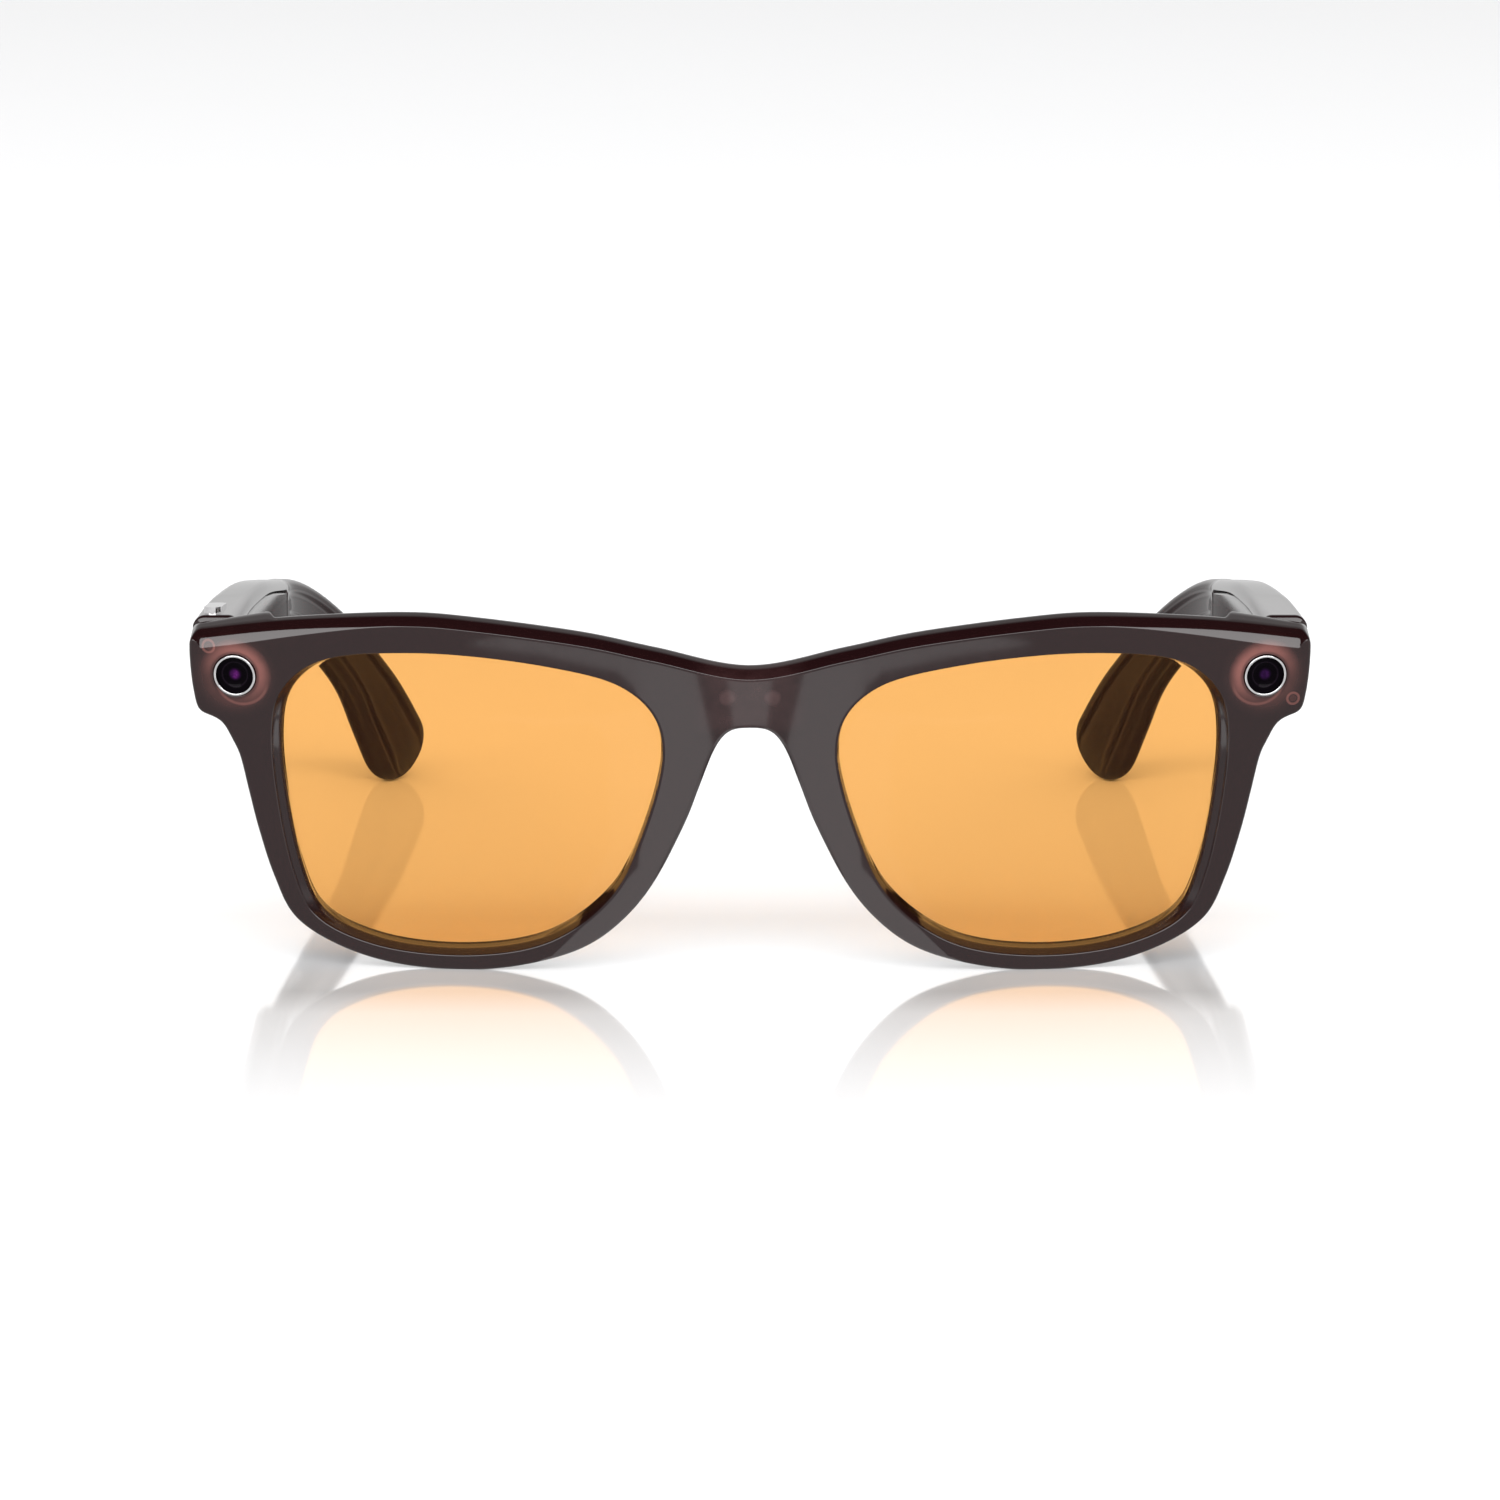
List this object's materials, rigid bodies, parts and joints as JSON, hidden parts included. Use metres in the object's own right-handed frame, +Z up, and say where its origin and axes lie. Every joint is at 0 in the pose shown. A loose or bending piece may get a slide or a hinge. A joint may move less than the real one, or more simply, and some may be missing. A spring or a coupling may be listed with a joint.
{
  "type": "smart glasses",
  "caption": "Smart glasses with folding temples, tinted lenses, a camera and an indicator light in the end pieces, charging contacts behind the bridge and speakers in the temples",
  "frame": {"origin": "centre of the box around the open glasses, at the surface they stand on", "axes": "+X wearer's left, +Y from the front to the temple tips, +Z up"},
  "size_m": [0.145, 0.154, 0.0478],
  "materials": {
    "frame_plastic": "polished translucent dark brown",
    "lens_tint": "amber tint",
    "pad_plastic": "translucent brown",
    "polished_metal": "polished silver",
    "dark_glass": "black window",
    "carrier_plastic": "pink brown moulding",
    "hinge_steel": "satin",
    "circuit_board": "solder mask",
    "flex_film": "copper and polyimide film",
    "contact_gold": "gold plated",
    "foil_metal": "satin",
    "clear_plastic": "clear moulding",
    "black_plastic": "fine matte"
  },
  "bodies": {
    "front": {"front_frame": "frame_plastic", "brow_cover_left": "frame_plastic", "brow_cover_right": "frame_plastic", "front_flex": "flex_film", "charging_plate": "black_plastic", "charging_contact_left": "contact_gold", "charging_contact_right": "contact_gold", "bridge_microphone": "foil_metal", "camera_trim_ring": "polished_metal", "camera_window": "dark_glass", "camera_carrier": "carrier_plastic", "camera_barrel": "black_plastic", "camera_board": "circuit_board", "light_trim_ring": "polished_metal", "light_window": "dark_glass", "light_carrier": "carrier_plastic", "light_guide": "clear_plastic", "light_board": "circuit_board", "lens_left": "lens_tint", "nose_pad_left": "pad_plastic", "hinge_front_leaf_left": "hinge_steel", "hinge_screw_left": "hinge_steel", "lens_right": "lens_tint", "nose_pad_right": "pad_plastic", "hinge_front_leaf_right": "hinge_steel", "hinge_screw_right": "hinge_steel"},
    "temple_left": {"temple_shell_left": "frame_plastic", "temple_cover_left": "frame_plastic", "hinge_temple_leaf_left": "hinge_steel", "tip_core_left": "hinge_steel", "speaker_left": "black_plastic", "speaker_grille_left": "black_plastic", "temple_microphone_left": "foil_metal", "battery": "foil_metal", "battery_board": "circuit_board", "switch_base": "black_plastic"},
    "temple_right": {"temple_shell_right": "frame_plastic", "temple_cover_right": "frame_plastic", "hinge_temple_leaf_right": "hinge_steel", "tip_core_right": "hinge_steel", "speaker_right": "black_plastic", "speaker_grille_right": "black_plastic", "temple_microphone_right": "foil_metal", "touch_film": "flex_film", "main_board": "circuit_board", "shield_can": "foil_metal", "button_switch": "foil_metal"},
    "capture_button": {"capture_button": "polished_metal"},
    "power_switch": {"power_switch": "black_plastic"}
  },
  "joints": [
    {"name": "temple_left_fold", "type": "hinge", "parent": "front", "child": "temple_left", "pos_m": [0.0647, -0.06241, 0.04061], "axis": [0, -0.1633, 0.9866], "range_deg": [0, 86]},
    {"name": "temple_right_fold", "type": "hinge", "parent": "front", "child": "temple_right", "pos_m": [-0.0647, -0.06241, 0.04061], "axis": [0, 0.1633, -0.9866], "range_deg": [0, 73]},
    {"name": "capture_button_press", "type": "slide", "parent": "temple_right", "child": "capture_button", "axis": [-0.0003, -0.0906, -0.9959], "range_m": [0, 0.0004], "stiffness_N_per_m": 300, "springref_m": -0.001},
    {"name": "power_switch_slide", "type": "slide", "parent": "temple_left", "child": "power_switch", "axis": [-0.0035, 0.9959, -0.0906], "range_m": [0, 0.002]}
  ]
}
